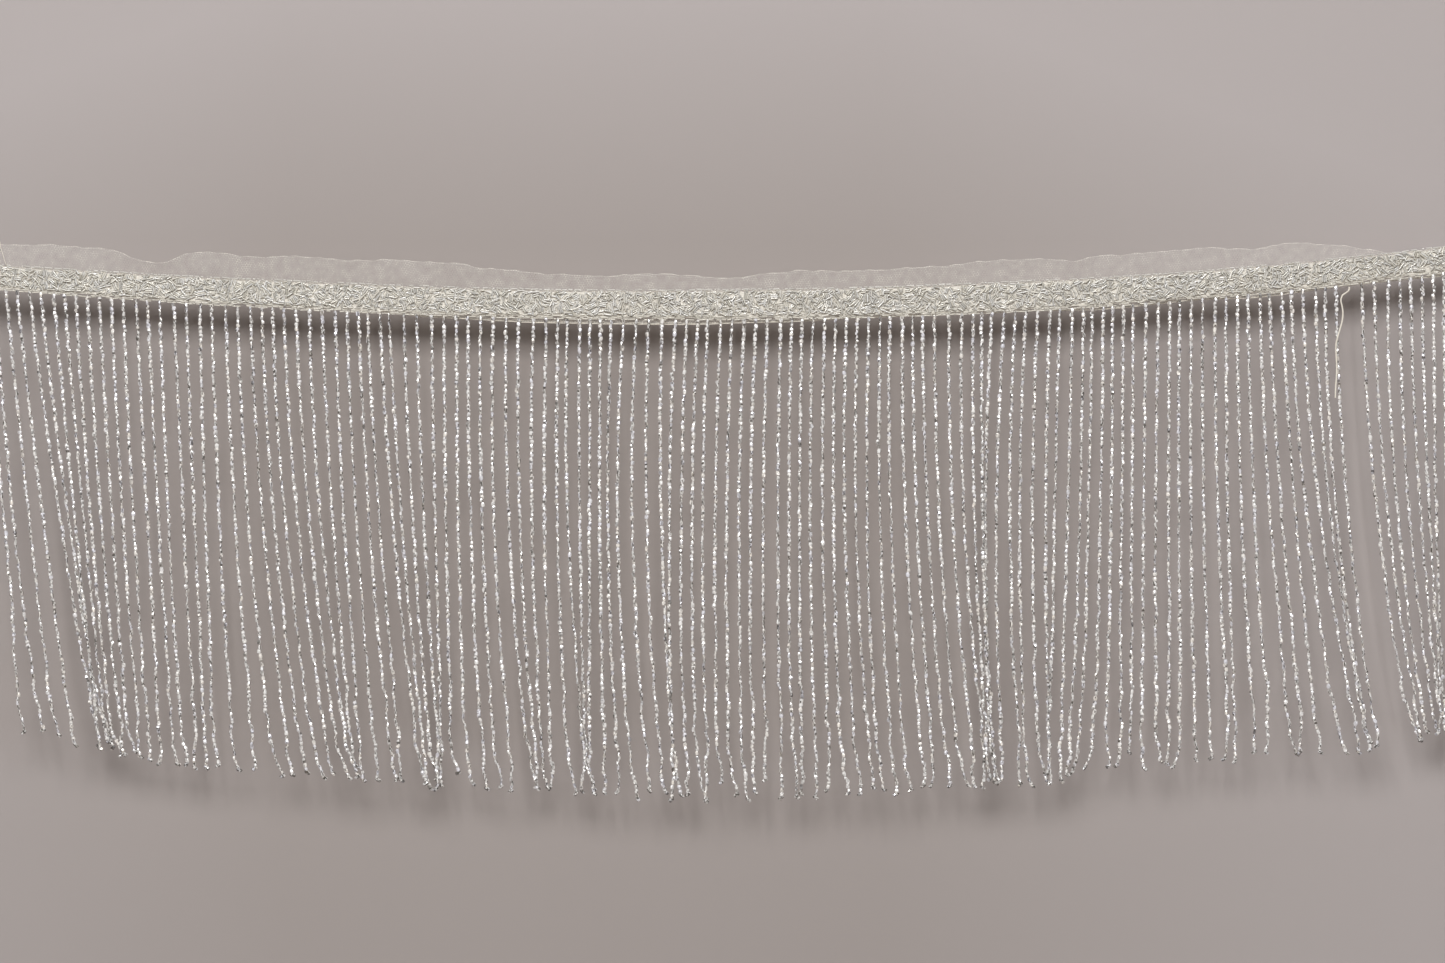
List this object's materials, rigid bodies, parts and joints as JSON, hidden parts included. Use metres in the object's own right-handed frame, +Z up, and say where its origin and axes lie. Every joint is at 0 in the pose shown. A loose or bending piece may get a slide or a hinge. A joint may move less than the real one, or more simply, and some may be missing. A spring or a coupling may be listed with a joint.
{
  "type": "beaded fringe trim",
  "caption": "Hanging trim: a beaded band on folded net, with long strands of clear glass beads along its lower edge.",
  "frame": {"origin": "on the flat back, at the net's cut top edge, half way along the trim", "axes": "+X along the trim to the right as seen from the front, +Z up, the beaded face towards -Y"},
  "size_m": [0.744, 0.0114, 0.2778],
  "materials": {
    "net": "matte, fine and see-through",
    "bugle_beads": "glossy glass tubes, ivory and clear",
    "glass_beads": "clear cut glass, glossy",
    "thread": "matte"
  },
  "bodies": {
    "root": {"net_strip": "net", "bead_band": "bugle_beads", "bead_fringe": "glass_beads", "loose_thread": "thread"}
  },
  "joints": []
}
